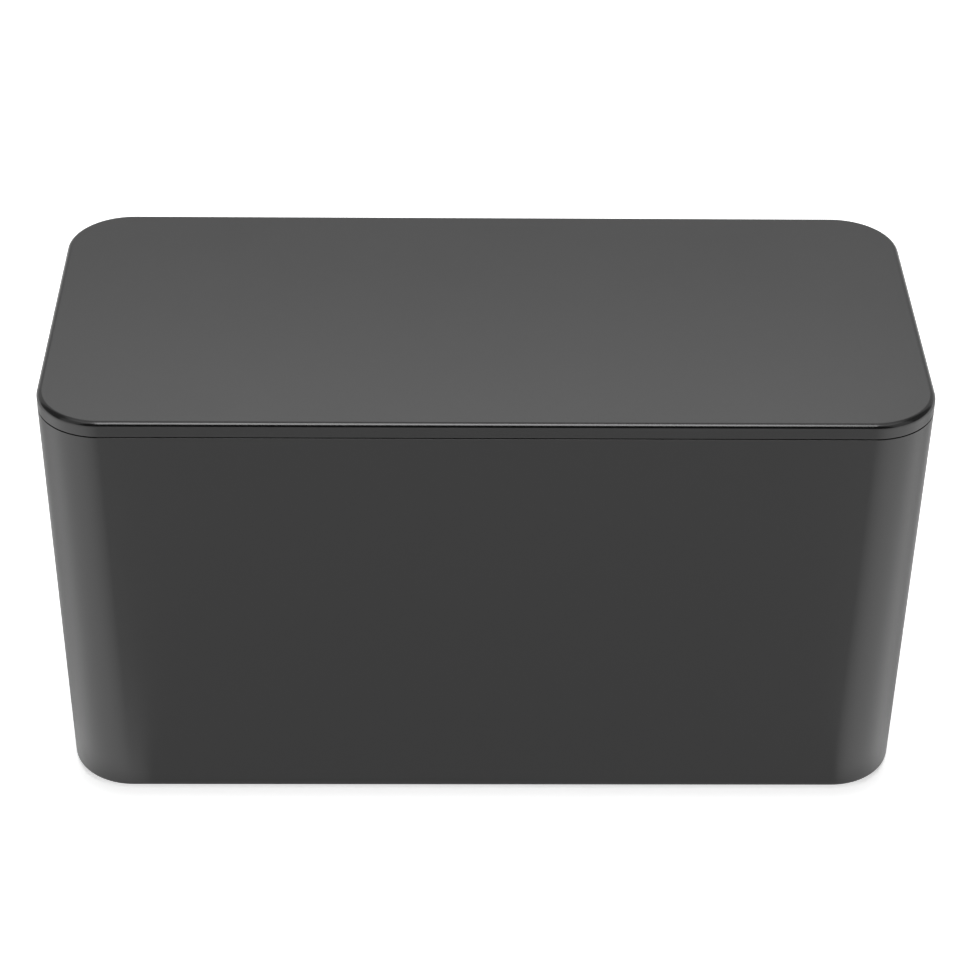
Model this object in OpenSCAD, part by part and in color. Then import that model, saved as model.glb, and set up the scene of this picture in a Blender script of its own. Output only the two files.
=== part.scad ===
// Cable management box: a moulded tub with a cable outlet in each end, a lift-off lid and four rubber feet.
// The origin is on the floor at the middle of the box. +X is to the right, +Y to the back and +Z up.

/* [Tub] */
// Width of the box across its ends, at the rim
box_w = 246; // [200:1:300]
// Depth of the box from front to back, at the rim
box_d = 116; // [96:1:150]
// Height of the tub without its feet
tub_h = 123.4; // [90:0.1:160]
// Radius of the upright corners
corner_r = 18.5; // [12:0.5:30]
// How far each wall leans in between the rim and the base
draft = 2.2; // [0.5:0.1:3]
// Radius of the edge around the base
base_edge_r = 2; // [0.5:0.1:4]
// Thickness of the upright walls
wall = 2.4; // [1.8:0.1:4]
// Thickness of the floor
floor_t = 2.6; // [2:0.1:5]

/* [Cable outlets] */
// Width of the outlet in each end wall
outlet_w = 26; // [14:1:40]
// Depth of the outlet below the rim
outlet_drop = 34; // [24:1:60]

/* [Lid] */
// Height of the lid's edge
lid_edge_h = 4.4; // [3.6:0.1:8]
// Radius of the edge around the top
lid_edge_r = 1.6; // [0.5:0.1:2.4]
// Thickness of the lid's plate
lid_t = 2.4; // [1.6:0.1:3.4]
// Height of the parting line between the lid's edge and the rim
seam_gap = 0.3; // [0.1:0.05:0.8]
// Depth of the lid's skirt below the rim
skirt_drop = 8; // [4:0.5:16]
// Thickness of the lid's skirt
skirt_t = 1.8; // [1.2:0.1:3]
// Clearance between the skirt and the walls, at the rim
skirt_gap = 0.5; // [0.4:0.05:1]
// Clearance between an outlet's side and the end of the skirt
skirt_stop = 2; // [1:0.5:6]
// Thickness of the ribs that stiffen the lid's plate
plate_rib_t = 1.4; // [0.8:0.1:2]
// Distance between the ribs that stiffen the lid's plate
plate_rib_pitch = 60; // [30:1:80]

/* [Ribs that carry the lid] */
// Thickness of each rib
rib_t = 2; // [1.2:0.1:4]
// How far each rib reaches past the skirt's inner face
rib_lip = 0.4; // [0.2:0.1:2]
// Distance from a long wall's rib to the start of the corner
rib_to_corner = 30; // [4:1:60]
// Distance from an end wall's rib to the side of the outlet
rib_to_outlet = 14; // [6:1:22]

/* [Feet] */
// Radius of a foot
foot_r = 7; // [4:0.5:9]
// Thickness of a foot
foot_t = 2.1; // [1.5:0.1:2.6]
// How far the feet stand out of the base
foot_proud = 0.9; // [0.4:0.1:1.4]
// Width of the bevel around a foot's lower edge
foot_bevel = 0.4; // [0.1:0.1:0.8]
// Clearance around a foot in its recess
foot_gap = 0.2; // [0.1:0.05:0.5]
// Distance from the rim's outline to the middle of a foot
foot_inset = 22; // [18:1:30]

/* [Hidden] */
base_z = foot_proud;
rim_z = base_z + tub_h;
lid_z = rim_z + seam_gap;
top_z = lid_z + lid_edge_h;
skirt_z = rim_z - skirt_drop;
skirt_out = wall + skirt_gap;
skirt_in = skirt_out + skirt_t;
rib_in = skirt_in + rib_lip;
rib_x = box_w / 2 - corner_r - rib_to_corner;
rib_y = outlet_w / 2 + rib_to_outlet;
foot_x = box_w / 2 - foot_inset;
foot_y = box_d / 2 - foot_inset;
recess_h = foot_t - foot_proud;
pocket_x = box_w / 2 - skirt_in;
pocket_y = box_d / 2 - skirt_in;
arc_steps = 5;
corner_fn = 64;
round_fn = 48;
disc_t = 0.01;
past = 1;

// How far the walls stand in from the rim's outline at a height
function lean(z) = draft * (rim_z - z) / tub_h;

// A rounded rectangle that stands in from the rim's outline by inset
module outline(inset) {
    w = box_w - 2 * inset;
    d = box_d - 2 * inset;
    r = corner_r - inset;
    square([w - 2 * r, d], center = true);
    square([w, d - 2 * r], center = true);
    for (sx = [-1, 1], sy = [-1, 1])
        translate([sx * (w / 2 - r), sy * (d / 2 - r)])
            circle(r, $fn = round_fn);
}

// Four thin discs whose hull is the tub's outline, moved in by inset and with corners of radius r
module corner_discs(z, inset, r) {
    for (sx = [-1, 1], sy = [-1, 1])
        translate([sx * (box_w / 2 - inset - r), sy * (box_d / 2 - inset - r), z])
            cylinder(disc_t, r, r, $fn = corner_fn);
}

// The tub's solid form, or the hollow inside it, from z up to top
module leaning_form(z, top, inset, edge_r) {
    r = corner_r - inset;
    hull() {
        for (i = [0 : arc_steps]) {
            a = 90 * i / arc_steps;
            step_z = z + edge_r * (1 - cos(a));
            step_in = edge_r * (1 - sin(a));
            corner_discs(step_z, lean(step_z) + inset + step_in, r - step_in);
        }
        corner_discs(top - disc_t, lean(top) + inset, r);
    }
}

// The ribs of the long walls and the end walls, as blocks that reach through the walls
module lid_ribs() {
    for (sx = [-1, 1], sy = [-1, 1]) {
        translate([sx * rib_x - rib_t / 2, sy > 0 ? box_d / 2 - rib_in : -box_d / 2, base_z])
            cube([rib_t, rib_in, skirt_z - base_z]);
        translate([sx > 0 ? box_w / 2 - rib_in : -box_w / 2, sy * rib_y - rib_t / 2, base_z])
            cube([rib_in, rib_t, skirt_z - base_z]);
    }
}

// One U-shaped cut that opens both end walls down from the rim
module outlet_cut() {
    r = outlet_w / 2;
    centre_z = rim_z - outlet_drop + r;
    translate([-box_w / 2 - past, 0, centre_z])
        rotate([0, 90, 0])
            cylinder(box_w + 2 * past, r, r, $fn = round_fn);
    translate([-box_w / 2 - past, -r, centre_z])
        cube([box_w + 2 * past, outlet_w, rim_z - centre_z + past]);
}

module tub() {
    color([0.11, 0.11, 0.115])
        difference() {
            leaning_form(base_z, rim_z, 0, base_edge_r);
            difference() {
                leaning_form(base_z + floor_t, rim_z + past, wall, base_edge_r / 2);
                lid_ribs();
            }
            outlet_cut();
            for (sx = [-1, 1], sy = [-1, 1])
                translate([sx * foot_x, sy * foot_y, base_z - past])
                    cylinder(recess_h + past, foot_r + foot_gap, foot_r + foot_gap, $fn = round_fn);
        }
}

// Half of the lid's section, out to reach, with the rounded edge
module lid_section(reach) {
    square([reach, lid_edge_h - lid_edge_r]);
    square([reach - lid_edge_r, lid_edge_h]);
    translate([reach - lid_edge_r, lid_edge_h - lid_edge_r])
        circle(lid_edge_r, $fn = round_fn);
}

// A straight bar of the lid, length long, with the rounded edge along both sides
module lid_bar(length, width) {
    rotate([90, 0, 90])
        linear_extrude(length, center = true) {
            lid_section(width / 2);
            mirror([1, 0]) lid_section(width / 2);
        }
}

// The lid's solid form: two crossed bars and a turned corner at each end of them
module lid_form() {
    translate([0, 0, lid_z]) {
        lid_bar(box_w - 2 * corner_r, box_d);
        rotate([0, 0, 90]) lid_bar(box_d - 2 * corner_r, box_w);
        for (sx = [-1, 1], sy = [-1, 1])
            translate([sx * (box_w / 2 - corner_r), sy * (box_d / 2 - corner_r), 0])
                rotate_extrude($fn = corner_fn) lid_section(corner_r);
    }
}

// The ribs under the lid's plate, as blocks that reach through it, spaced out from the middle
module plate_ribs() {
    steps_x = floor(pocket_x / plate_rib_pitch - 0.5);
    steps_y = floor(pocket_y / plate_rib_pitch - 0.5);
    for (i = [-steps_x : steps_x])
        translate([i * plate_rib_pitch, 0, lid_z])
            cube([plate_rib_t, box_d, 2 * lid_edge_h], center = true);
    for (i = [-steps_y : steps_y])
        translate([0, i * plate_rib_pitch, lid_z])
            cube([box_w, plate_rib_t, 2 * lid_edge_h], center = true);
}

module lid() {
    gap_w = outlet_w + 2 * skirt_stop;
    color([0.11, 0.11, 0.115]) {
        difference() {
            lid_form();
            difference() {
                translate([0, 0, lid_z - past])
                    linear_extrude(lid_edge_h - lid_t + past) outline(skirt_in);
                plate_ribs();
            }
        }
        difference() {
            translate([0, 0, skirt_z])
                linear_extrude(top_z - lid_t - skirt_z)
                    difference() {
                        outline(skirt_out);
                        outline(skirt_in);
                    }
            translate([-box_w / 2, -gap_w / 2, skirt_z - past])
                cube([box_w, gap_w, lid_z - skirt_z + past]);
        }
    }
}

// One foot, a disc with a bevelled lower edge
module foot(x, y) {
    color([0.05, 0.05, 0.05])
        translate([x, y, 0]) {
            cylinder(foot_bevel, foot_r - foot_bevel, foot_r, $fn = round_fn);
            translate([0, 0, foot_bevel])
                cylinder(foot_t - foot_bevel, foot_r, foot_r, $fn = round_fn);
        }
}

module foot_front_left() { foot(-foot_x, -foot_y); }

module foot_front_right() { foot(foot_x, -foot_y); }

module foot_rear_left() { foot(-foot_x, foot_y); }

module foot_rear_right() { foot(foot_x, foot_y); }

tub();
lid();
foot_front_left();
foot_front_right();
foot_rear_left();
foot_rear_right();
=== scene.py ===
import math

import bmesh
import bpy
from mathutils import Matrix, Vector


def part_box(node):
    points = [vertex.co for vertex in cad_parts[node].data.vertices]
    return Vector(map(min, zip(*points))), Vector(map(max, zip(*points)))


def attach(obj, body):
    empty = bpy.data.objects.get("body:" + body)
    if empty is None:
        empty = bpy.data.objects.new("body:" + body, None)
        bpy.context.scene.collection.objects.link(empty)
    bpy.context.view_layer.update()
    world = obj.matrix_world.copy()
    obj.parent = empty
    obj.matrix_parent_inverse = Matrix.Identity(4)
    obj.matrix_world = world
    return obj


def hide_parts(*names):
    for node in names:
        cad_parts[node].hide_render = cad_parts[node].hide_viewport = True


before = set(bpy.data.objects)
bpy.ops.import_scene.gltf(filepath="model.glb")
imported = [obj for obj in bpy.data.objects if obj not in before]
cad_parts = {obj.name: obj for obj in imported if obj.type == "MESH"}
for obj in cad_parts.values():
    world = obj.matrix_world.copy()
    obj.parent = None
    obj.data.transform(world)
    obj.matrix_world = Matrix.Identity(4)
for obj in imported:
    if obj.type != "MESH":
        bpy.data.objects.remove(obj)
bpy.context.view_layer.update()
print("frame loaded:", len(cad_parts), "nodes")

mm = 0.001
mergeDistance = 0.002 * mm
sharpAngle = math.radians(40)


def addSockets(tree, inputs, outputs):
    for name, kind, value in inputs:
        socket = tree.interface.new_socket(name, in_out="INPUT", socket_type=kind)
        if value is not None:
            socket.default_value = value
    for name, kind in outputs:
        tree.interface.new_socket(name, in_out="OUTPUT", socket_type=kind)
    return tree.nodes.new("NodeGroupInput").outputs, tree.nodes.new("NodeGroupOutput").inputs


def plug(tree, source, target):
    # source is a socket to link or a plain value to set
    if isinstance(source, bpy.types.NodeSocket):
        tree.links.new(source, target)
    else:
        target.default_value = source


def addNode(tree, kind, settings=None, **plugs):
    node = tree.nodes.new(kind)
    for name, value in (settings or {}).items():
        setattr(node, name, value)
    for name, source in plugs.items():
        plug(tree, source, node.inputs[name.replace("_", " ")])
    return node


def maths(tree, operation, *sources, clamp=False):
    node = tree.nodes.new("ShaderNodeMath")
    node.operation = operation
    node.use_clamp = clamp
    for source, socket in zip(sources, node.inputs):
        plug(tree, source, socket)
    return node.outputs[0]


def ramp(tree, value, low, high, start=0.0, end=1.0):
    # a smooth rise from start to end while value goes from low to high
    node = addNode(
        tree,
        "ShaderNodeMapRange",
        {"interpolation_type": "SMOOTHSTEP"},
        Value=value,
        From_Min=low,
        From_Max=high,
        To_Min=start,
        To_Max=end,
    )
    return node.outputs[0]


def setInputs(modifier, values):
    # a modifier's inputs are set by their sockets' identifiers
    for socket in modifier.node_group.interface.items_tree:
        if socket.in_out == "INPUT" and socket.name in values:
            modifier[socket.identifier] = values[socket.name]


def sweptRoundBox():
    # sweeps a section round a rounded rectangle: a point of it holds inset, corner radius, height
    tree = bpy.data.node_groups.new("sweptRoundBox", "GeometryNodeTree")
    given, made = addSockets(
        tree,
        [
            ("Section", "NodeSocketGeometry", None),
            ("Width", "NodeSocketFloat", 0.1),
            ("Depth", "NodeSocketFloat", 0.1),
            ("Corner Steps", "NodeSocketInt", 12),
            ("Centre", "NodeSocketVector", None),
            ("Material", "NodeSocketMaterial", None),
        ],
        [("Mesh", "NodeSocketGeometry")],
    )
    count = addNode(tree, "GeometryNodeAttributeDomainSize", Geometry=given["Section"])
    rows = count.outputs["Point Count"]
    perCorner = maths(tree, "ADD", given["Corner Steps"], 1)
    columns = maths(tree, "MULTIPLY_ADD", perCorner, 4, 1)
    grid = addNode(tree, "GeometryNodeMeshGrid", Vertices_X=columns, Vertices_Y=rows)
    index = addNode(tree, "GeometryNodeInputIndex").outputs[0]
    row = maths(tree, "MODULO", index, rows)
    column = maths(tree, "FLOOR", maths(tree, "DIVIDE", index, rows))
    corner = maths(tree, "FLOOR", maths(tree, "DIVIDE", column, perCorner))
    step = maths(tree, "MODULO", column, perCorner)
    share = maths(tree, "DIVIDE", step, given["Corner Steps"])
    turn = maths(tree, "MULTIPLY", maths(tree, "ADD", corner, share), math.pi / 2)
    middle = maths(tree, "MULTIPLY", maths(tree, "ADD", corner, 0.5), math.pi / 2)
    sample = addNode(
        tree,
        "GeometryNodeSampleIndex",
        {"data_type": "FLOAT_VECTOR", "domain": "POINT"},
        Geometry=given["Section"],
        Value=addNode(tree, "GeometryNodeInputPosition").outputs[0],
        Index=row,
    )
    parts = addNode(tree, "ShaderNodeSeparateXYZ", Vector=sample.outputs[0]).outputs
    inset, radius, height = parts["X"], parts["Y"], parts["Z"]
    across = []
    for size, wave in (("Width", "COSINE"), ("Depth", "SINE")):
        half = maths(tree, "MULTIPLY", given[size], 0.5)
        straight = maths(tree, "SUBTRACT", maths(tree, "SUBTRACT", half, inset), radius)
        side = maths(tree, "SIGN", maths(tree, wave, middle))
        bend = maths(tree, "MULTIPLY", maths(tree, wave, turn), radius)
        across.append(maths(tree, "MULTIPLY_ADD", side, straight, bend))
    place = addNode(tree, "ShaderNodeCombineXYZ", X=across[0], Y=across[1], Z=height)
    moved = addNode(tree, "ShaderNodeVectorMath", {"operation": "ADD"})
    plug(tree, place.outputs[0], moved.inputs[0])
    plug(tree, given["Centre"], moved.inputs[1])
    swept = addNode(
        tree, "GeometryNodeSetPosition", Geometry=grid.outputs["Mesh"], Position=moved.outputs[0]
    )
    closed = addNode(
        tree, "GeometryNodeMergeByDistance", Geometry=swept.outputs[0], Distance=mergeDistance
    )
    real = addNode(tree, "GeometryNodeRealizeInstances", Geometry=closed.outputs[0])
    finished = addNode(
        tree, "GeometryNodeSetMaterial", Geometry=real.outputs[0], Material=given["Material"]
    )
    plug(tree, finished.outputs[0], made["Mesh"])
    return tree


def copiesOnPoints():
    # puts a copy of one piece on every point, turned by the point's own "turn"
    tree = bpy.data.node_groups.new("copiesOnPoints", "GeometryNodeTree")
    given, made = addSockets(
        tree,
        [
            ("Points", "NodeSocketGeometry", None),
            ("Piece", "NodeSocketObject", None),
            ("Material", "NodeSocketMaterial", None),
        ],
        [("Mesh", "NodeSocketGeometry")],
    )
    piece = addNode(tree, "GeometryNodeObjectInfo", Object=given["Piece"], As_Instance=True)
    turn = addNode(tree, "GeometryNodeInputNamedAttribute", {"data_type": "FLOAT"}, Name="turn")
    euler = addNode(tree, "ShaderNodeCombineXYZ", Z=turn.outputs[0])
    rotation = addNode(tree, "FunctionNodeEulerToRotation", Euler=euler.outputs[0])
    copies = addNode(
        tree,
        "GeometryNodeInstanceOnPoints",
        Points=given["Points"],
        Instance=piece.outputs["Geometry"],
        Rotation=rotation.outputs[0],
    )
    real = addNode(tree, "GeometryNodeRealizeInstances", Geometry=copies.outputs[0])
    finished = addNode(
        tree, "GeometryNodeSetMaterial", Geometry=real.outputs[0], Material=given["Material"]
    )
    plug(tree, finished.outputs[0], made["Mesh"])
    return tree


sweepTree = sweptRoundBox()
copyTree = copiesOnPoints()


def meshObject(name, points, faces=()):
    mesh = bpy.data.meshes.new(name)
    mesh.from_pydata(points, [], faces)
    made = bpy.data.objects.new(name, mesh)
    bpy.context.scene.collection.objects.link(made)
    return made


def discard(piece):
    bpy.data.objects.remove(piece)


def settle(piece):
    # the evaluated result becomes the piece's own plain mesh
    graph = bpy.context.evaluated_depsgraph_get()
    graph.update()
    plain = bpy.data.meshes.new_from_object(piece.evaluated_get(graph))
    piece.modifiers.clear()
    piece.data = plain
    return piece


def runTree(piece, tree, values):
    modifier = piece.modifiers.new(tree.name, "NODES")
    modifier.node_group = tree
    setInputs(modifier, values)
    return settle(piece)


def swept(name, section, width, depth, steps, material, centre=(0, 0, 0)):
    piece = runTree(
        meshObject(name, section),
        sweepTree,
        {
            "Width": width,
            "Depth": depth,
            "Corner Steps": steps,
            "Centre": centre,
            "Material": material,
        },
    )
    # the two open ends of the section are closed with flat faces
    work = bmesh.new()
    work.from_mesh(piece.data)
    bmesh.ops.remove_doubles(work, verts=work.verts, dist=mergeDistance)
    rims = [edge for edge in work.edges if edge.is_boundary]
    bmesh.ops.holes_fill(work, edges=rims, sides=0)
    bmesh.ops.recalc_face_normals(work, faces=work.faces)
    work.to_mesh(piece.data)
    work.free()
    return piece


def cutAway(piece, cutter):
    modifier = piece.modifiers.new("cut", "BOOLEAN")
    modifier.operation = "DIFFERENCE"
    modifier.solver = "EXACT"
    modifier.object = cutter
    settle(piece)
    discard(cutter)


def soften(piece, widthOf, segments=3):
    # every sharp edge is rounded by the width that widthOf gives for its middle
    work = bmesh.new()
    work.from_mesh(piece.data)
    bmesh.ops.remove_doubles(work, verts=work.verts, dist=mergeDistance)
    weights = work.edges.layers.float.new("bevel_weight_edge")
    widths = {
        edge: widthOf((edge.verts[0].co + edge.verts[1].co) / 2)
        for edge in work.edges
        if len(edge.link_faces) == 2 and edge.calc_face_angle(0) > sharpAngle
    }
    widest = max(widths.values())
    for edge, width in widths.items():
        edge[weights] = width / widest
    work.to_mesh(piece.data)
    work.free()
    bevel = piece.modifiers.new("soft edges", "BEVEL")
    bevel.limit_method = "WEIGHT"
    bevel.width = widest
    bevel.segments = segments
    settle(piece)


def smoothShade(piece):
    # flat faces stay flat and only the roundings between them shade smoothly
    piece.data.shade_smooth()
    weighted = piece.modifiers.new("flat faces", "WEIGHTED_NORMAL")
    weighted.keep_sharp = True
    settle(piece)


def joinInto(piece, others):
    work = bmesh.new()
    work.from_mesh(piece.data)
    for other in others:
        work.from_mesh(other.data)
        discard(other)
    work.to_mesh(piece.data)
    work.free()


def arc(radius, steps):
    # (inward, along) offsets of a rounded edge, from the flat face to the upright one
    turns = [math.pi / 2 * i / steps for i in range(steps + 1)]
    return [(radius * (1 - math.sin(a)), radius * (1 - math.cos(a))) for a in turns]


def outlineDistance(tree, parts, halfWidth, halfDepth, radius):
    # how far a place lies outside a rounded rectangle, and less than 0 inside it
    beyond = []
    for axis, half in (("X", halfWidth), ("Y", halfDepth)):
        straight = maths(tree, "SUBTRACT", half, radius)
        beyond.append(maths(tree, "SUBTRACT", maths(tree, "ABSOLUTE", parts[axis]), straight))
    outer = [maths(tree, "MAXIMUM", each, 0.0) for each in beyond]
    square = maths(
        tree, "MULTIPLY_ADD", outer[0], outer[0], maths(tree, "MULTIPLY", outer[1], outer[1])
    )
    inner = maths(tree, "MINIMUM", maths(tree, "MAXIMUM", *beyond), 0.0)
    return maths(tree, "SUBTRACT", maths(tree, "ADD", maths(tree, "SQRT", square), inner), radius)


grainShape = {
    "detail": 2.0,
    "roughness": 0.5,
    "finerTimes": 2.7,  # the fine cells' scale against the coarse grain's
}


def mouldedGrain(shape):
    # fine moulded grain: a height for the bump and a mask that follows the same grain
    tree = bpy.data.node_groups.new("mouldedGrain", "ShaderNodeTree")
    given, made = addSockets(
        tree,
        [
            ("Place", "NodeSocketVector", None),
            ("Grain Scale", "NodeSocketFloat", 3000.0),
            ("Fine Share", "NodeSocketFloat", 0.4),
        ],
        [("Height", "NodeSocketFloat"), ("Mask", "NodeSocketFloat")],
    )
    coarse = addNode(
        tree,
        "ShaderNodeTexNoise",
        Vector=given["Place"],
        Scale=given["Grain Scale"],
        Detail=shape["detail"],
        Roughness=shape["roughness"],
    )
    finer = maths(tree, "MULTIPLY", given["Grain Scale"], shape["finerTimes"])
    fine = addNode(
        tree, "ShaderNodeTexVoronoi", {"feature": "SMOOTH_F1"}, Vector=given["Place"], Scale=finer
    )
    mixed = maths(
        tree, "MULTIPLY_ADD", fine.outputs["Distance"], given["Fine Share"], coarse.outputs[0]
    )
    plug(tree, mixed, made["Height"])
    plug(tree, coarse.outputs[0], made["Mask"])
    return tree


marksShape = {
    "detail": 4.0,
    "roughness": 0.6,
    "distortion": 0.4,
    "faintest": 0.3,
    "strongest": 0.7,
}


def handlingMarks(shape):
    # broad, barely visible changes of gloss where hands and cloths have been
    tree = bpy.data.node_groups.new("handlingMarks", "ShaderNodeTree")
    given, made = addSockets(
        tree,
        [
            ("Place", "NodeSocketVector", None),
            ("Mark Scale", "NodeSocketFloat", 22.0),
            ("Gloss Low", "NodeSocketFloat", 0.2),
            ("Gloss High", "NodeSocketFloat", 0.3),
            ("Rub", "NodeSocketFloat", 0.0),
        ],
        [("Roughness", "NodeSocketFloat")],
    )
    marks = addNode(
        tree,
        "ShaderNodeTexNoise",
        Vector=given["Place"],
        Scale=given["Mark Scale"],
        Detail=shape["detail"],
        Roughness=shape["roughness"],
        Distortion=shape["distortion"],
    )
    level = addNode(
        tree,
        "ShaderNodeMapRange",
        Value=marks.outputs[0],
        From_Min=shape["faintest"],
        From_Max=shape["strongest"],
        To_Min=given["Gloss Low"],
        To_Max=given["Gloss High"],
    )
    plug(tree, maths(tree, "SUBTRACT", level.outputs[0], given["Rub"]), made["Roughness"])
    return tree


rubShape = {
    "scale": 160.0,
    "detail": 3.0,
    "roughness": 0.6,
    "faintest": 0.35,
    "strongest": 0.7,
}


def edgeRub(shape):
    # a mask along one edge of a rounded box, broken up so that the rub looks uneven
    tree = bpy.data.node_groups.new("edgeRub", "ShaderNodeTree")
    given, made = addSockets(
        tree,
        [
            ("Place", "NodeSocketVector", None),
            ("Half Width", "NodeSocketFloat", 0.1),
            ("Half Depth", "NodeSocketFloat", 0.1),
            ("Corner Radius", "NodeSocketFloat", 0.02),
            ("Edge Height", "NodeSocketFloat", 0.1),
            ("Reach", "NodeSocketFloat", 0.002),
        ],
        [("Mask", "NodeSocketFloat")],
    )
    parts = addNode(tree, "ShaderNodeSeparateXYZ", Vector=given["Place"]).outputs
    fromOutline = outlineDistance(
        tree, parts, given["Half Width"], given["Half Depth"], given["Corner Radius"]
    )
    upright = maths(tree, "SUBTRACT", parts["Z"], given["Edge Height"])
    squares = maths(
        tree,
        "MULTIPLY_ADD",
        fromOutline,
        fromOutline,
        maths(tree, "MULTIPLY", upright, upright),
    )
    band = ramp(tree, maths(tree, "SQRT", squares), 0.0, given["Reach"], 1.0, 0.0)
    breaks = addNode(
        tree,
        "ShaderNodeTexNoise",
        Vector=given["Place"],
        Scale=shape["scale"],
        Detail=shape["detail"],
        Roughness=shape["roughness"],
    )
    uneven = addNode(
        tree,
        "ShaderNodeMapRange",
        Value=breaks.outputs[0],
        From_Min=shape["faintest"],
        From_Max=shape["strongest"],
    )
    plug(tree, maths(tree, "MULTIPLY", band, uneven.outputs[0]), made["Mask"])
    return tree


def hiddenSide():
    # a mask of the faces within a leaning, rounded wall and below a height
    tree = bpy.data.node_groups.new("hiddenSide", "ShaderNodeTree")
    given, made = addSockets(
        tree,
        [
            ("Place", "NodeSocketVector", None),
            ("Half Width", "NodeSocketFloat", 0.1),
            ("Half Depth", "NodeSocketFloat", 0.1),
            ("Corner Radius", "NodeSocketFloat", 0.02),
            ("Lean", "NodeSocketFloat", 0.0),
            ("Rim Height", "NodeSocketFloat", 0.1),
            ("Shallow", "NodeSocketFloat", 0.001),
            ("Deep", "NodeSocketFloat", 0.002),
            ("Top Height", "NodeSocketFloat", 0.1),
        ],
        [("Mask", "NodeSocketFloat")],
    )
    parts = addNode(tree, "ShaderNodeSeparateXYZ", Vector=given["Place"]).outputs
    fromRim = outlineDistance(
        tree, parts, given["Half Width"], given["Half Depth"], given["Corner Radius"]
    )
    down = maths(tree, "SUBTRACT", given["Rim Height"], parts["Z"])
    outward = maths(tree, "MULTIPLY_ADD", down, given["Lean"], fromRim)
    inward = maths(tree, "MULTIPLY", outward, -1.0)
    inside = ramp(tree, inward, given["Shallow"], given["Deep"])
    under = maths(tree, "LESS_THAN", parts["Z"], given["Top Height"])
    plug(tree, maths(tree, "MULTIPLY", inside, under), made["Mask"])
    return tree


grainGroup = mouldedGrain(grainShape)
marksGroup = handlingMarks(marksShape)
rubGroup = edgeRub(rubShape)
hiddenGroup = hiddenSide()


def useGroup(tree, group, **plugs):
    return addNode(tree, "ShaderNodeGroup", {"node_tree": group}, **plugs)


def mix(tree, share, first, second):
    node = addNode(tree, "ShaderNodeMix", {"data_type": "RGBA"})
    colours = [socket for socket in node.inputs if socket.type == "RGBA"]
    plug(tree, share, node.inputs["Factor"])
    plug(tree, first, colours[0])
    plug(tree, second, colours[1])
    return next(socket for socket in node.outputs if socket.type == "RGBA")


def plasticMaterial(name, look, edge):
    material = bpy.data.materials.new(name)
    material.use_nodes = True
    tree = material.node_tree
    shader = tree.nodes["Principled BSDF"]
    place = addNode(tree, "ShaderNodeTexCoord").outputs["Object"]
    grain = useGroup(
        tree,
        grainGroup,
        Place=place,
        Grain_Scale=look["grainScale"],
        Fine_Share=look["fineShare"],
    )
    rub = useGroup(
        tree,
        rubGroup,
        Place=place,
        Half_Width=edge["halfWidth"],
        Half_Depth=edge["halfDepth"],
        Corner_Radius=edge["cornerRadius"],
        Edge_Height=edge["height"],
        Reach=look["rubReach"],
    )
    hidden = useGroup(
        tree,
        hiddenGroup,
        Place=place,
        Half_Width=boxWidth / 2,
        Half_Depth=boxDepth / 2,
        Corner_Radius=cornerRadius,
        Lean=edge["lean"],
        Rim_Height=edge["rim"],
        Shallow=look["hiddenFrom"],
        Deep=look["hiddenTo"],
        Top_Height=edge["hiddenBelow"],
    )
    shine = maths(tree, "MULTIPLY", rub.outputs[0], look["rubGloss"])
    dull = maths(tree, "MULTIPLY", hidden.outputs[0], look["hiddenDull"])
    gloss = useGroup(
        tree,
        marksGroup,
        Place=place,
        Mark_Scale=look["markScale"],
        Gloss_Low=look["roughness"] - look["roughnessSpread"],
        Gloss_High=look["roughness"] + look["roughnessSpread"],
        Rub=maths(tree, "SUBTRACT", shine, dull),
    )
    tone = mix(tree, grain.outputs["Mask"], look["colourLow"], look["colourHigh"])
    tone = mix(tree, rub.outputs[0], tone, look["rubColour"])
    # painted light: the hidden inside faces get a lighter grey so that the shaded interior reads
    tone = mix(tree, hidden.outputs[0], tone, look["insidePaintedLightColour"])
    bump = addNode(
        tree,
        "ShaderNodeBump",
        Height=grain.outputs["Height"],
        Strength=look["bumpStrength"],
        Distance=look["grainDepth"],
    )
    plug(tree, tone, shader.inputs["Base Color"])
    plug(tree, gloss.outputs[0], shader.inputs["Roughness"])
    plug(tree, bump.outputs[0], shader.inputs["Normal"])
    shader.inputs["IOR"].default_value = look["ior"]
    return material


tubLow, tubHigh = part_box("tub")
lidLow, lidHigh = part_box("lid")
boxWidth = lidHigh.x - lidLow.x
boxDepth = lidHigh.y - lidLow.y
cornerRadius = 18.5 * mm
cornerSteps = 24

satinLook = {
    "colourLow": (0.0030, 0.0030, 0.0031, 1),
    "colourHigh": (0.0044, 0.0044, 0.0045, 1),
    "rubColour": (0.0070, 0.0070, 0.0072, 1),
    "ior": 1.54,
    "roughness": 0.20,
    "roughnessSpread": 0.012,
    "markScale": 18.0,
    "rubReach": 1.6 * mm,
    "rubGloss": 0.03,
    "hiddenFrom": 1.0 * mm,  # how deep within the wall the hidden sides' duller finish and painted lighter grey start
    "hiddenTo": 1.5 * mm,
    "hiddenDull": 0.28,
    # painted light: a lighter grey for the hidden inside faces, so that the shaded interior reads
    "insidePaintedLightColour": (0.0180, 0.0180, 0.0183, 1),
    "grainScale": 2600.0,
    "fineShare": 0.35,
    "grainDepth": 0.004 * mm,
    "bumpStrength": 1.0,
}

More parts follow.
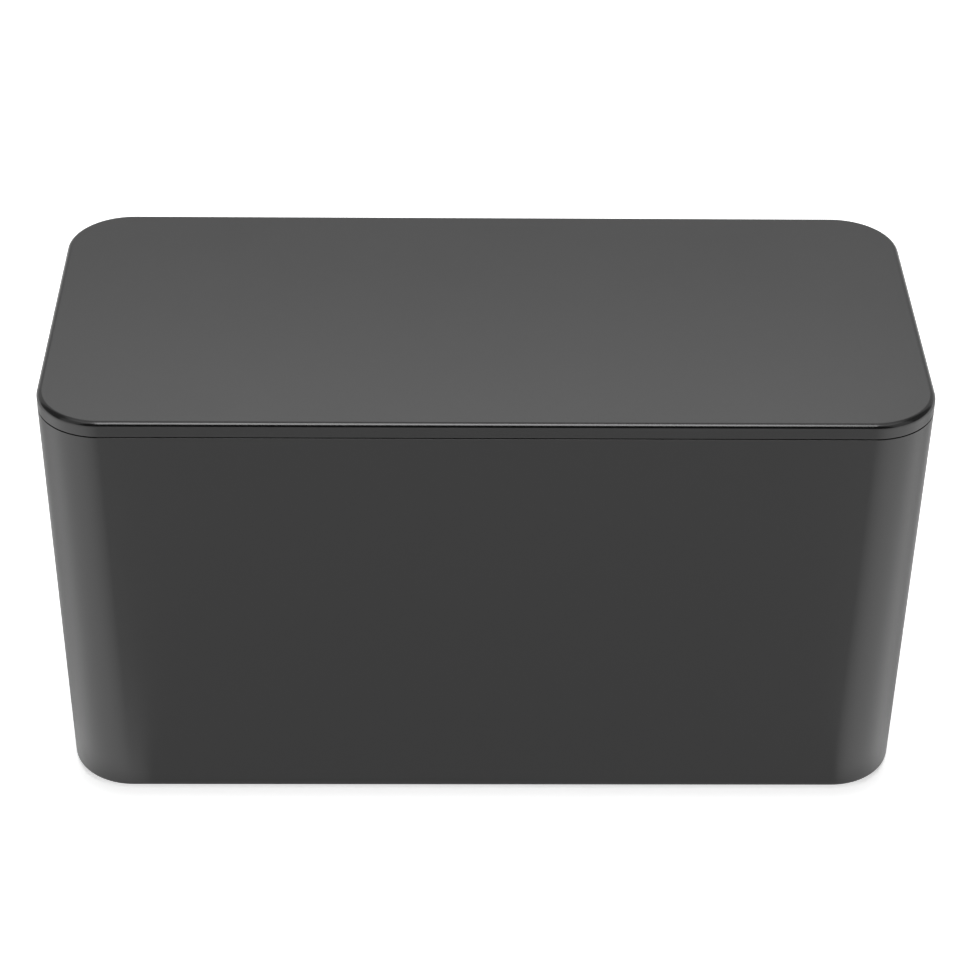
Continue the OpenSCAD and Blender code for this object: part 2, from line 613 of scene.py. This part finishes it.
tubSizes = {
    "draft": 2.2 * mm,
    "wall": 2.4 * mm,
    "floor": 2.6 * mm,
    "baseEdgeRadius": 2 * mm,
    "baseEdgeSteps": 10,
    "floorEdgeSteps": 6,
    "outletWidth": 26 * mm,
    "outletDrop": 34 * mm,
    "outletSteps": 32,
    "rimRound": 0.12 * mm,
    "rimMargin": 0.01 * mm,
    "cutRound": 0.5 * mm,
    "ribThickness": 2 * mm,
    "ribInner": 5.1 * mm,
    "ribTop": 8 * mm,
    "ribX": 74.5 * mm,
    "ribY": 27 * mm,
    "ribRound": 0.4 * mm,
    "ribTopRound": 0.3 * mm,
    "ribTopSteps": 4,
    "ribCornerSteps": 5,
    "footX": 101 * mm,
    "footY": 36 * mm,
    "recessRadius": 7.2 * mm,
    "recessDepth": 1.2 * mm,
    "recessSteps": 64,
}
tubEdge = {
    "halfWidth": boxWidth / 2 - tubSizes["draft"],
    "halfDepth": boxDepth / 2 - tubSizes["draft"],
    "cornerRadius": cornerRadius,
    "height": tubLow.z,
    "rim": tubHigh.z,
    "lean": tubSizes["draft"] / (tubHigh.z - tubLow.z),
    "hiddenBelow": tubHigh.z - tubSizes["rimRound"],
}
tubPlastic = plasticMaterial("tubSatinPlastic", satinLook, tubEdge)


def tubSection(sizes):
    # from under the base, up the outside, over the rim and down the inside to the floor
    base, rim = tubLow.z, tubHigh.z
    wall, top = sizes["wall"], base + sizes["floor"]

    def point(z, inward, rounding):
        lean = sizes["draft"] * (rim - z) / (rim - base)
        return (lean + inward + rounding, cornerRadius - inward - rounding, z)

    outside = [
        point(base + up, 0, into)
        for into, up in arc(sizes["baseEdgeRadius"], sizes["baseEdgeSteps"])
    ]
    inside = [
        point(top + up, wall, into)
        for into, up in arc(sizes["baseEdgeRadius"] / 2, sizes["floorEdgeSteps"])
    ]
    return outside + [point(rim, 0, 0), point(rim, wall, 0)] + inside[::-1]


def tubCutter(sizes):
    # one bar with a round bottom for both outlets, and a short disc for each foot's recess
    work = bmesh.new()
    radius = sizes["outletWidth"] / 2
    centre = tubHigh.z - sizes["outletDrop"] + radius
    above = tubHigh.z + radius
    turns = [math.pi * (1 + i / sizes["outletSteps"]) for i in range(sizes["outletSteps"] + 1)]
    outline = [(radius * math.cos(a), centre + radius * math.sin(a)) for a in turns]
    outline = [(-radius, above)] + outline + [(radius, above)]
    face = work.faces.new([work.verts.new((-boxWidth, y, z)) for y, z in outline])
    grown = bmesh.ops.extrude_face_region(work, geom=[face])["geom"]
    moved = [v for v in grown if isinstance(v, bmesh.types.BMVert)]
    bmesh.ops.translate(work, verts=moved, vec=(2 * boxWidth, 0, 0))
    for sideX in (-1, 1):
        for sideY in (-1, 1):
            spot = Vector((sideX * sizes["footX"], sideY * sizes["footY"], tubLow.z))
            bmesh.ops.create_cone(
                work,
                cap_ends=True,
                segments=sizes["recessSteps"],
                radius1=sizes["recessRadius"],
                radius2=sizes["recessRadius"],
                depth=2 * sizes["recessDepth"],
                matrix=Matrix.Translation(spot),
            )
    bmesh.ops.recalc_face_normals(work, faces=work.faces)
    cutter = meshObject("tubCutter", [])
    work.to_mesh(cutter.data)
    work.free()
    return cutter


def tubRibs(sizes, material):
    # one rib, with a rounded inner edge and top, copied to its eight places
    foot, top = tubLow.z + sizes["floor"] / 2, tubHigh.z - sizes["ribTop"]
    reach = sizes["ribInner"] - sizes["wall"]
    section = [(0, sizes["ribRound"], foot)]
    for into, down in reversed(arc(sizes["ribTopRound"], sizes["ribTopSteps"])):
        section.append((into, sizes["ribRound"] - into, top - down))
    thickness, steps = sizes["ribThickness"], sizes["ribCornerSteps"]
    rib = swept("ribPattern", section, thickness, reach, steps, material)
    middle = (sizes["wall"] + sizes["ribInner"]) / 2
    places, turns = [], []
    for sideX in (-1, 1):
        for sideY in (-1, 1):
            places.append((sideX * sizes["ribX"], sideY * (boxDepth / 2 - middle), 0))
            turns.append(0.0)
            places.append((sideX * (boxWidth / 2 - middle), sideY * sizes["ribY"], 0))
            turns.append(math.pi / 2)
    ribs = meshObject("tubRibs", places)
    ribs.data.attributes.new("turn", "FLOAT", "POINT").data.foreach_set("value", turns)
    runTree(ribs, copyTree, {"Piece": rib, "Material": material})
    discard(rib)
    return ribs


def makeTub(sizes, material):
    tub = swept("tubShell", tubSection(sizes), boxWidth, boxDepth, cornerSteps, material)
    cutAway(tub, tubCutter(sizes))
    # only the outlets' edges lie between the rim and the base, and they take the wider rounding
    rim = tubHigh.z - sizes["rimMargin"]
    floor = tubLow.z + 2 * sizes["floor"]
    soften(tub, lambda spot: sizes["cutRound"] if floor < spot.z < rim else sizes["rimRound"])
    joinInto(tub, [tubRibs(sizes, material)])
    smoothShade(tub)
    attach(tub, "box")
    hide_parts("tub")
    return tub


tub = makeTub(tubSizes, tubPlastic)
print("tub made:", len(tub.data.polygons), "faces")


lidSizes = {
    "edgeRadius": 1.6 * mm,
    "edgeSteps": 14,
    "seam": 124.6 * mm,
    "plate": 2.4 * mm,
    "skirtOuter": 2.9 * mm,
    "skirtInner": 4.7 * mm,
    "skirtGap": 30 * mm,
    "seamRound": 0.12 * mm,
    "seamMargin": 0.1 * mm,
    "skirtRound": 0.35 * mm,
    "ribThickness": 1.4 * mm,
    "ribPitch": 60 * mm,
    "ribRound": 0.3 * mm,
    "ribEdgeRound": 0.27 * mm,
    "ribEdgeSteps": 4,
    "ribCornerSteps": 5,
    "ribShort": 0.05 * mm,
    "ribSink": 0.2 * mm,
}
lidEdge = {
    "halfWidth": boxWidth / 2,
    "halfDepth": boxDepth / 2,
    "cornerRadius": cornerRadius,
    "height": lidHigh.z,
    "rim": lidHigh.z,
    "lean": 0.0,
    "hiddenBelow": lidHigh.z - lidSizes["plate"] + lidSizes["ribSink"],
}
lidPlastic = plasticMaterial("lidSatinPlastic", satinLook, lidEdge)


def lidSection(sizes):
    # from the top's flat, round the edge, along the underside, down the skirt, into the pocket
    top, bottom = lidHigh.z, lidLow.z
    spots = [(into, top - down) for into, down in arc(sizes["edgeRadius"], sizes["edgeSteps"])]
    spots += [
        (0, sizes["seam"]),
        (sizes["skirtOuter"], sizes["seam"]),
        (sizes["skirtOuter"], bottom),
        (sizes["skirtInner"], bottom),
        (sizes["skirtInner"], top - sizes["plate"]),
    ]
    return [(inset, cornerRadius - inset, z) for inset, z in spots]


def barMesh(name, low, high):
    corners = [
        (x, y, z) for x in (low[0], high[0]) for y in (low[1], high[1]) for z in (low[2], high[2])
    ]
    faces = [(0, 1, 3, 2), (4, 6, 7, 5), (0, 4, 5, 1), (2, 3, 7, 6), (0, 2, 6, 4), (1, 5, 7, 3)]
    return meshObject(name, corners, faces)


def plateRibs(sizes, material):
    # the ribs that stiffen the plate: one pattern copied along the lid, and one rib lengthwise
    top = lidHigh.z - sizes["plate"] + sizes["ribSink"]
    bottom = sizes["seam"] + sizes["ribShort"]
    section = [(0, sizes["ribRound"], top)]
    for into, up in reversed(arc(sizes["ribEdgeRound"], sizes["ribEdgeSteps"])):
        section.append((into, sizes["ribRound"] - into, bottom + up))
    shorter = 2 * (sizes["skirtInner"] - sizes["ribSink"])
    thickness, steps = sizes["ribThickness"], sizes["ribCornerSteps"]
    cross = swept("crossRib", section, thickness, boxDepth - shorter, steps, material)
    along = swept("alongRib", section, boxWidth - shorter, thickness, steps, material)
    ribs = meshObject("plateRibs", [(i * sizes["ribPitch"], 0, 0) for i in (-1, 0, 1)])
    runTree(ribs, copyTree, {"Piece": cross, "Material": material})
    discard(cross)
    return [ribs, along]


def makeLid(sizes, material):
    lid = swept("lidShell", lidSection(sizes), boxWidth, boxDepth, cornerSteps, material)
    half = sizes["skirtGap"] / 2
    gap = barMesh("skirtGap", (-boxWidth, -half, 0), (boxWidth, half, sizes["seam"]))
    cutAway(lid, gap)

    def widthOf(spot):
        # the outline's own edges are finer than the skirt's
        aside = abs(spot.x) - (boxWidth / 2 - cornerRadius)
        along = abs(spot.y) - (boxDepth / 2 - cornerRadius)
        reach = math.hypot(aside, along) if min(aside, along) > 0 else max(aside, along)
        outer = reach > cornerRadius - sizes["seamMargin"]
        return sizes["seamRound"] if outer else sizes["skirtRound"]

    soften(lid, widthOf)
    joinInto(lid, plateRibs(sizes, material))
    smoothShade(lid)
    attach(lid, "lid")
    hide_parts("lid")
    return lid


lid = makeLid(lidSizes, lidPlastic)
print("lid made:", len(lid.data.polygons), "faces")


rubberLook = {
    "colour": (0.012, 0.012, 0.012, 1),
    "dustColour": (0.035, 0.033, 0.030, 1),
    "roughness": 0.72,
    "roughnessSpread": 0.07,
    "markScale": 180.0,
    "grainScale": 1400.0,
    "fineShare": 0.6,
    "grainDepth": 0.03 * mm,
    "dustFrom": 0.45,
    "dustTo": 0.8,
}


def rubberMaterial(name, look):
    material = bpy.data.materials.new(name)
    material.use_nodes = True
    tree = material.node_tree
    shader = tree.nodes["Principled BSDF"]
    place = addNode(tree, "ShaderNodeTexCoord").outputs["Object"]
    grain = useGroup(
        tree,
        grainGroup,
        Place=place,
        Grain_Scale=look["grainScale"],
        Fine_Share=look["fineShare"],
    )
    gloss = useGroup(
        tree,
        marksGroup,
        Place=place,
        Mark_Scale=look["markScale"],
        Gloss_Low=look["roughness"] - look["roughnessSpread"],
        Gloss_High=look["roughness"] + look["roughnessSpread"],
    )
    dust = ramp(tree, grain.outputs["Mask"], look["dustFrom"], look["dustTo"])
    tone = mix(tree, dust, look["colour"], look["dustColour"])
    bump = addNode(
        tree, "ShaderNodeBump", Height=grain.outputs["Height"], Distance=look["grainDepth"]
    )
    plug(tree, tone, shader.inputs["Base Color"])
    plug(tree, gloss.outputs[0], shader.inputs["Roughness"])
    plug(tree, bump.outputs[0], shader.inputs["Normal"])
    return material


rubber = rubberMaterial("footRubber", rubberLook)

footSizes = {
    "edgeRound": 0.25 * mm,
    "bevel": 0.4 * mm,
    "bend": ((1, 0), (0.3, 0.1), (-0.25, 0.45)),  # the bevel's rounding, as shares of edgeRound
    "topBend": 0.3,
    "cornerSteps": 16,
}


def makeFoot(name, node, sizes):
    low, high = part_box(node)
    radius = (high.x - low.x) / 2
    centre = ((low.x + high.x) / 2, (low.y + high.y) / 2, 0)
    bevel, soft = sizes["bevel"], sizes["edgeRound"]
    topBend = sizes["topBend"] * soft
    # from the face on the floor, up the bevel and the side, to the face in the recess
    spots = [(bevel + a * soft, low.z + b * soft) for a, b in sizes["bend"]]
    spots += [(b * soft, low.z + bevel + a * soft) for a, b in reversed(sizes["bend"])]
    spots += [(0, high.z - soft), (topBend, high.z - topBend), (soft, high.z)]
    section = [(inset, radius - inset, z) for inset, z in spots]
    foot = swept(name, section, 2 * radius, 2 * radius, sizes["cornerSteps"], rubber, centre)
    smoothShade(foot)
    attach(foot, "box")
    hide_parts(node)


for end in ("front", "rear"):
    for side in ("left", "right"):
        makeFoot("foot" + end.title() + side.title(), f"foot_{end}_{side}", footSizes)
print("feet made")


floorLook = {
    "size": 40.0,
    "colour": (0.85, 0.85, 0.85, 1),
    # what the camera sees: white, with a faint shade around the base
    "seenUnder": 0.8,  # in the gap under the base's edge
    "seenEdge": 0.31,  # at the front
    "seenEnd": 0.78,  # at the ends and the back
    "seenFar": 1.0,
    "endFrom": -20 * mm,
    "endTo": 8 * mm,
    "underFrom": -3 * mm,
    "underTo": 2.0 * mm,
    "haloFrom": 0.3 * mm,
    "haloTo": 15 * mm,
    # what the plastic mirrors
    "mirrorFront": 0.19,
    "mirrorFan": 1.00,  # beyond the front corners, and all round from farTo on
    "mirrorRear": 0.00,
    "mirrorUnder": 0.8,  # painted light under the box, for views from below
    "belowFrom": -10 * mm,
    "belowTo": -5 * mm,
    "contact": 0.1,  # painted contact shadow: the share of the mirrored glow that is left at the base's outline
    "contactReach": 3 * mm,
    "fanNear": 0.35,
    "fanReach": 12 * mm,
    "fanShift": 3.5 * mm,
    "fanStart": 98.5 * mm,  # the fan's origin along X for places beside the base
    "fanX": 93.8 * mm,  # and for places fanWiden and more away from it
    "fanWiden": 40 * mm,
    "fanY": 49.0 * mm,
    "fanTurns": (13.0, 51.8, 86.3, 129.4),  # degrees: a rise, full, and a fall
    "fanPower": 0.40,
    "farFrom": 0.6,
    "farTo": 1.2,
}


def floorGlow(tree, look):
    # the floor is white to the camera, and the plastic mirrors it by how it lies to the box:
    # brightest in a fan beyond each front corner, and less in front of the box and behind it
    place = addNode(tree, "ShaderNodeTexCoord").outputs["Object"]
    parts = addNode(tree, "ShaderNodeSeparateXYZ", Vector=place).outputs
    beyond = outlineDistance(
        tree, parts, tubEdge["halfWidth"], tubEdge["halfDepth"], tubEdge["cornerRadius"]
    )
    across = maths(tree, "ABSOLUTE", maths(tree, "SUBTRACT", parts["X"], look["fanShift"]))
    start = ramp(tree, beyond, 0.0, look["fanWiden"], look["fanStart"], look["fanX"])
    aside = maths(tree, "MAXIMUM", maths(tree, "SUBTRACT", across, start), 0.0)
    ahead = maths(tree, "SUBTRACT", maths(tree, "MULTIPLY", parts["Y"], -1.0), look["fanY"])
    turn = maths(tree, "ARCTAN2", aside, ahead)
    turns = [math.radians(each) for each in look["fanTurns"]]
    share = maths(tree, "POWER", ramp(tree, turn, turns[0], turns[1]), look["fanPower"])
    near = ramp(tree, beyond, 0.0, look["fanReach"], look["fanNear"], 1.0)
    share = maths(tree, "MULTIPLY", share, near)
    span = look["mirrorFan"] - look["mirrorFront"]
    rise = maths(tree, "MULTIPLY_ADD", share, span, look["mirrorFront"])
    fall = ramp(tree, turn, turns[2], turns[3], rise, look["mirrorRear"])
    away = addNode(tree, "ShaderNodeVectorMath", {"operation": "LENGTH"}, Vector=place)
    level = ramp(
        tree, away.outputs["Value"], look["farFrom"], look["farTo"], fall, look["mirrorFan"]
    )
    # painted contact shadow in what the plastic mirrors, darker towards the base's outline
    dark = ramp(tree, beyond, 0.0, look["contactReach"], look["contact"], 1.0)
    # painted light under the box, which the base mirrors in views from below
    below = ramp(tree, beyond, look["belowFrom"], look["belowTo"], look["mirrorUnder"], 0.0)
    mirrored = maths(tree, "MAXIMUM", maths(tree, "MULTIPLY", level, dark), below)
    under = ramp(tree, beyond, look["underFrom"], look["underTo"], look["seenUnder"], 0.0)
    edge = ramp(tree, ahead, look["endFrom"], look["endTo"], look["seenEnd"], look["seenEdge"])
    halo = ramp(tree, beyond, look["haloFrom"], look["haloTo"], edge, look["seenFar"])
    path = addNode(tree, "ShaderNodeLightPath").outputs
    seen = maths(tree, "MULTIPLY", path["Is Camera Ray"], maths(tree, "MAXIMUM", under, halo))
    mirror = maths(tree, "ADD", path["Is Glossy Ray"], path["Is Transmission Ray"], clamp=True)
    return maths(tree, "MULTIPLY_ADD", mirror, mirrored, seen)


def makeFloor(look):
    half = look["size"] / 2
    corners = [(-half, -half, 0), (half, -half, 0), (half, half, 0), (-half, half, 0)]
    floor = meshObject("studioFloor", corners, [(0, 1, 2, 3)])
    material = bpy.data.materials.new("paleFloor")
    material.use_nodes = True
    tree = material.node_tree
    tree.nodes.clear()
    matt = addNode(tree, "ShaderNodeBsdfDiffuse", Color=look["colour"])
    strength = floorGlow(tree, look)
    glow = addNode(tree, "ShaderNodeEmission", Color=(1, 1, 1, 1), Strength=strength)
    both = addNode(tree, "ShaderNodeAddShader")
    plug(tree, matt.outputs[0], both.inputs[0])
    plug(tree, glow.outputs[0], both.inputs[1])
    # seen from below the floor is clear, so that the feet show
    clear = addNode(tree, "ShaderNodeBsdfTransparent")
    sides = addNode(tree, "ShaderNodeMixShader")
    plug(tree, addNode(tree, "ShaderNodeNewGeometry").outputs["Backfacing"], sides.inputs[0])
    plug(tree, both.outputs[0], sides.inputs[1])
    plug(tree, clear.outputs[0], sides.inputs[2])
    out = addNode(tree, "ShaderNodeOutputMaterial")
    plug(tree, sides.outputs[0], out.inputs["Surface"])
    floor.data.materials.append(material)


# the From and To values are the parts of a direction along Y or Z
room = {
    "ambient": 0.30,  # the world as a light
    "behind": 0.70,
    "behindFrom": 0.470,
    "behindTo": 0.557,
    "aside": 0.20,
    "ahead": 0.00,
    "aheadFrom": 0.155,
    "aheadTo": 0.233,
    "horizon": 1.0,
    "horizonTo": 0.098,
    "overhead": 1.0,
    "overheadFrom": 0.832,
    "overheadTo": 0.852,
}


def makeWorld(look):
    world = bpy.data.worlds.new("studioWorld")
    bpy.context.scene.world = world
    world.use_nodes = True
    tree = world.node_tree
    tree.nodes.clear()
    path = addNode(tree, "ShaderNodeLightPath").outputs
    toward = addNode(tree, "ShaderNodeTexCoord").outputs["Generated"]
    parts = addNode(tree, "ShaderNodeSeparateXYZ", Vector=toward).outputs
    # what the plastic mirrors: pale behind the box, dark in front of it, and dim at its ends,
    # with white all round at the horizon and overhead
    level = ramp(
        tree, parts["Y"], look["behindFrom"], look["behindTo"], look["aside"], look["behind"]
    )
    level = ramp(tree, parts["Y"], -look["aheadTo"], -look["aheadFrom"], look["ahead"], level)
    level = ramp(tree, parts["Z"], 0.0, look["horizonTo"], look["horizon"], level)
    level = ramp(
        tree, parts["Z"], look["overheadFrom"], look["overheadTo"], level, look["overhead"]
    )
    mirrored = maths(tree, "ADD", path["Is Glossy Ray"], path["Is Transmission Ray"], clamp=True)
    rise = maths(tree, "SUBTRACT", level, look["ambient"])
    other = maths(tree, "MULTIPLY_ADD", rise, mirrored, look["ambient"])
    strength = maths(tree, "MAXIMUM", other, path["Is Camera Ray"])
    sky = addNode(tree, "ShaderNodeBackground", Color=(1, 1, 1, 1), Strength=strength)
    out = addNode(tree, "ShaderNodeOutputWorld")
    plug(tree, sky.outputs[0], out.inputs["Surface"])


def addSoftbox(name, place, size, radiance):
    lamp = bpy.data.lights.new(name, "AREA")
    lamp.shape = "RECTANGLE"
    lamp.size, lamp.size_y = size
    lamp.energy = radiance * math.pi * size[0] * size[1]
    box = bpy.data.objects.new(name, lamp)
    bpy.context.scene.collection.objects.link(box)
    box.location = place
    box.rotation_euler = (lampAim - Vector(place)).to_track_quat("-Z", "Y").to_euler()
    box.visible_camera = False


lampAim = Vector((0, 0, 0.1))
softboxes = {
    "rearSoftbox": {"place": (0.000, 1.936, 2.118), "size": (1.39, 1.41), "radiance": 1.03},
    "overheadSoftbox": {"place": (0.000, -0.477, 1.106), "size": (0.56, 0.61), "radiance": 5.99},
    "leftSoftbox": {"place": (-0.912, -0.621, 0.788), "size": (0.76, 1.54), "radiance": 0.67},
    "rightSoftbox": {"place": (0.912, -0.621, 0.788), "size": (0.76, 1.54), "radiance": 0.67},
}

makeFloor(floorLook)
makeWorld(room)
for name, values in softboxes.items():
    addSoftbox(name, **values)
print("studio made")


cameraView = {
    "place": (-0.012256, -0.710463, 0.549438),
    "yaw": 1.1492,
    "pitch": 34.0871,
    "roll": 0.8004,
    "lens": 106.279,
    "sensor": 36,
}


def addCamera(values):
    camera = bpy.data.cameras.new("camera")
    camera.lens = values["lens"]
    camera.sensor_width = values["sensor"]
    eye = bpy.data.objects.new("camera", camera)
    bpy.context.scene.collection.objects.link(eye)
    yaw, pitch, roll = (math.radians(values[name]) for name in ("yaw", "pitch", "roll"))
    forward = Vector(
        (math.sin(yaw) * math.cos(pitch), math.cos(yaw) * math.cos(pitch), -math.sin(pitch))
    )
    level = Vector((math.cos(yaw), -math.sin(yaw), 0))
    above = level.cross(forward)
    right = level * math.cos(roll) + above * math.sin(roll)
    up = above * math.cos(roll) - level * math.sin(roll)
    turn = Matrix((right, up, -forward)).transposed().to_4x4()
    eye.matrix_world = Matrix.Translation(values["place"]) @ turn
    bpy.context.scene.camera = eye


addCamera(cameraView)
bpy.context.scene.view_settings.view_transform = "Standard"
print("camera made")
